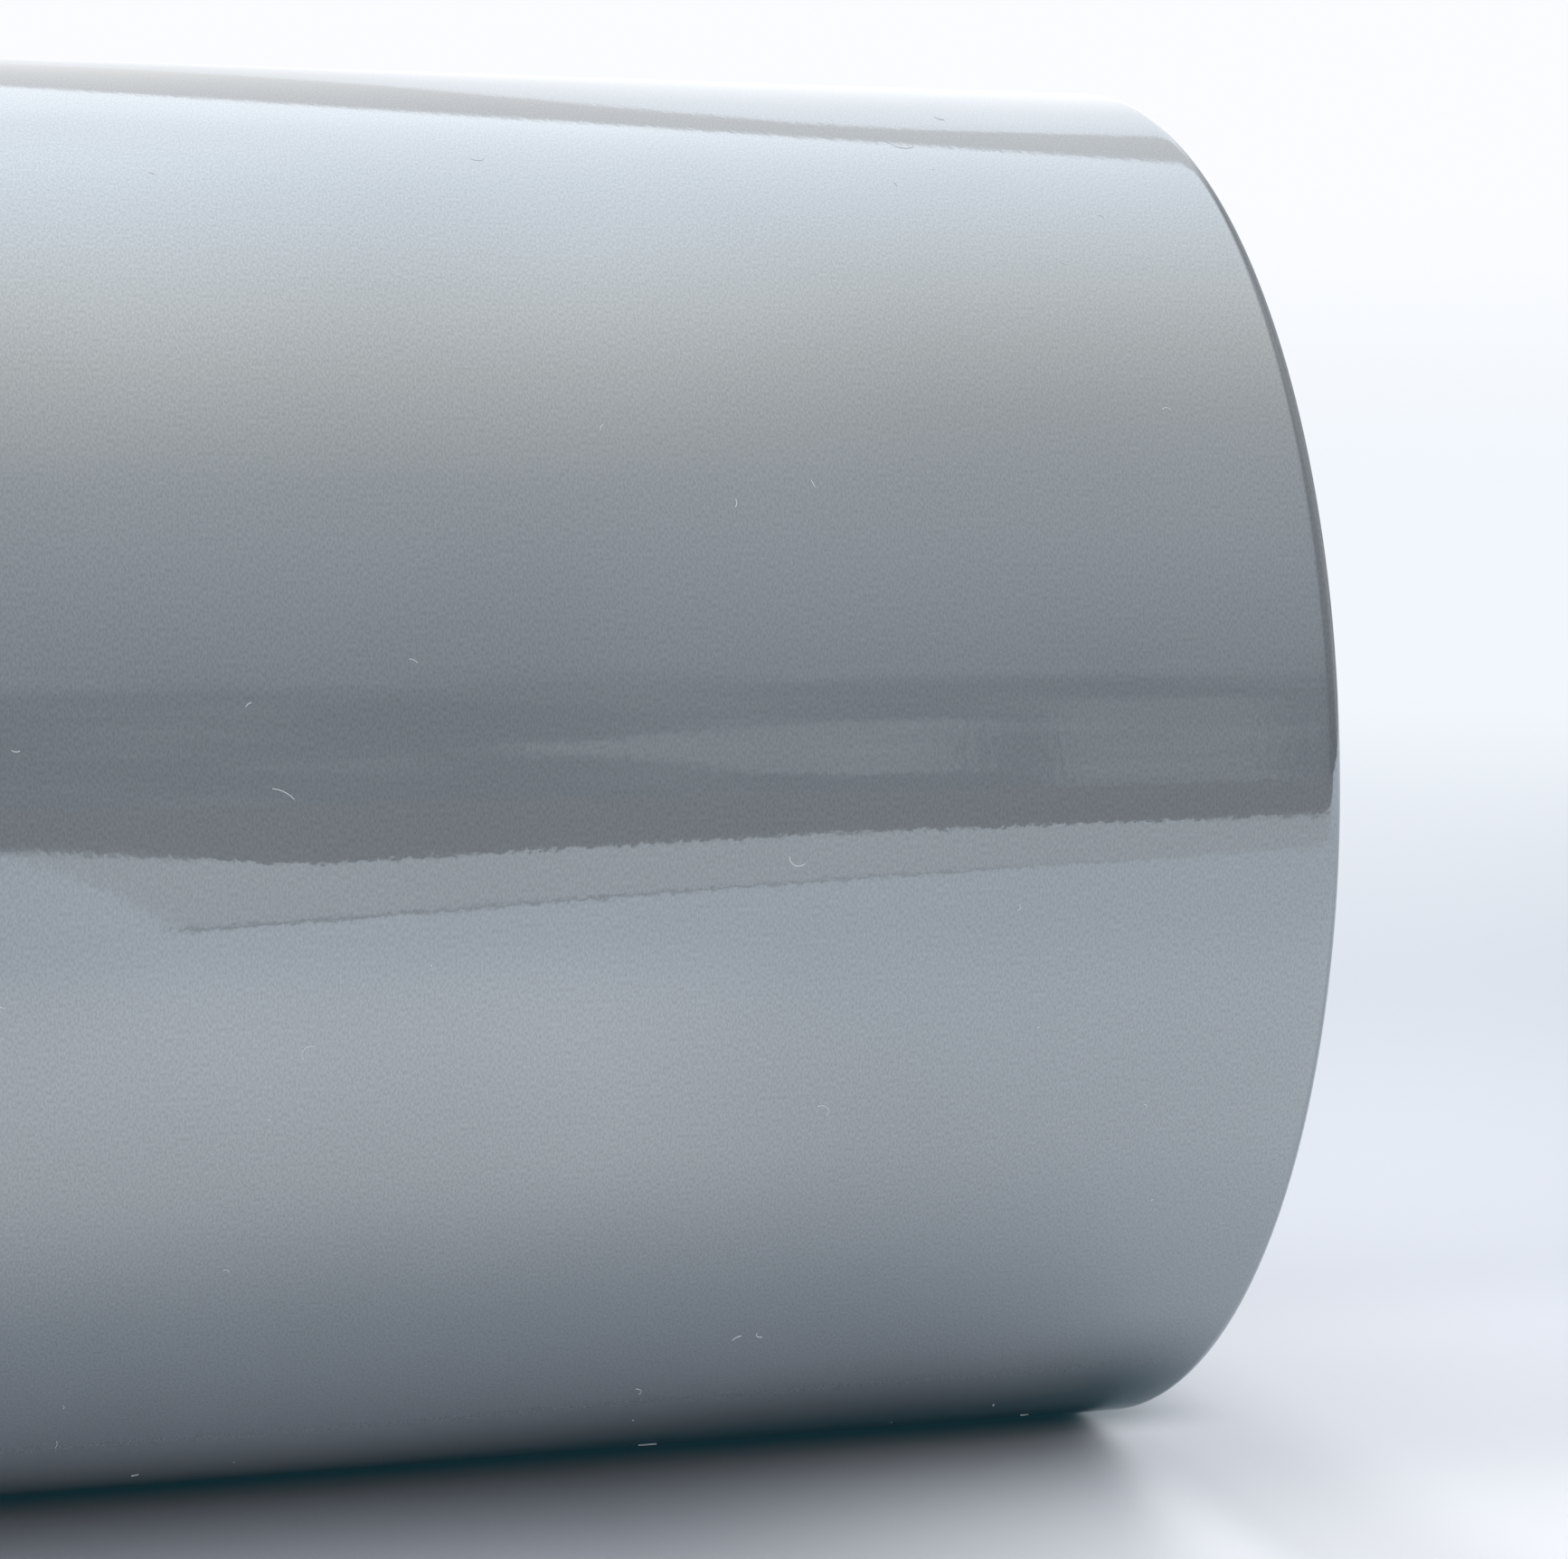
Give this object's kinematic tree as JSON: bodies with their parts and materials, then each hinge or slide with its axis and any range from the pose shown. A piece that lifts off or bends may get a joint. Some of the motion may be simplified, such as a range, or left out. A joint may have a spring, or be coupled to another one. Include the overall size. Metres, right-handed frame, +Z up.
{
  "type": "backdrop paper roll",
  "caption": "High-gloss grey backdrop paper wound on a board core, its end taped down at the back and a push-in plug in each end.",
  "frame": {"origin": "on the surface the roll lies on, under the middle of its length and under its axis", "axes": "+X along the roll's axis towards its right end, +Y to the back where the paper's free edge is taped down, +Z up"},
  "size_m": [0.665, 0.0898, 0.0898],
  "materials": {
    "gloss_paper": "high-gloss grey coated paper with a fine ripple in its reflections",
    "paper_edges": "matt cut edges of the wound paper",
    "board": "matt spiral-wound brown board",
    "white_tape": "satin off-white paper tape",
    "plug_plastic": "matt black moulded plastic",
    "label_paper": "blank satin white label paper"
  },
  "bodies": {
    "roll": {"core_tube": "board", "start_tape": "white_tape", "wound_pack": "paper_edges", "last_turn": "gloss_paper", "size_label": "label_paper"},
    "leader": {"leader_flap": "gloss_paper"},
    "left_tab": {"tail_tape_left": "white_tape"},
    "centre_tab": {"tail_tape_centre": "white_tape"},
    "right_tab": {"tail_tape_right": "white_tape"},
    "left_plug": {"left_end_plug": "plug_plastic"},
    "right_plug": {"right_end_plug": "plug_plastic"}
  },
  "joints": [
    {"name": "leader_lift", "type": "hinge", "parent": "roll", "child": "leader", "pos_m": [0, 0.00323, 0.08963], "axis": [1, 0, 0], "range_deg": [0, 70]},
    {"name": "left_tab_peel", "type": "hinge", "parent": "leader", "child": "left_tab", "pos_m": [-0.25, 0.02521, 0.08264], "axis": [1, 0, 0], "range_deg": [0, 60]},
    {"name": "centre_tab_peel", "type": "hinge", "parent": "leader", "child": "centre_tab", "pos_m": [0, 0.02521, 0.08264], "axis": [1, 0, 0], "range_deg": [0, 60]},
    {"name": "right_tab_peel", "type": "hinge", "parent": "leader", "child": "right_tab", "pos_m": [0.25, 0.02521, 0.08264], "axis": [1, 0, 0], "range_deg": [0, 60]},
    {"name": "left_plug_pull", "type": "slide", "parent": "roll", "child": "left_plug", "axis": [-1, 0, 0], "range_m": [0, 0.09]},
    {"name": "right_plug_pull", "type": "slide", "parent": "roll", "child": "right_plug", "axis": [1, 0, 0], "range_m": [0, 0.09]}
  ]
}
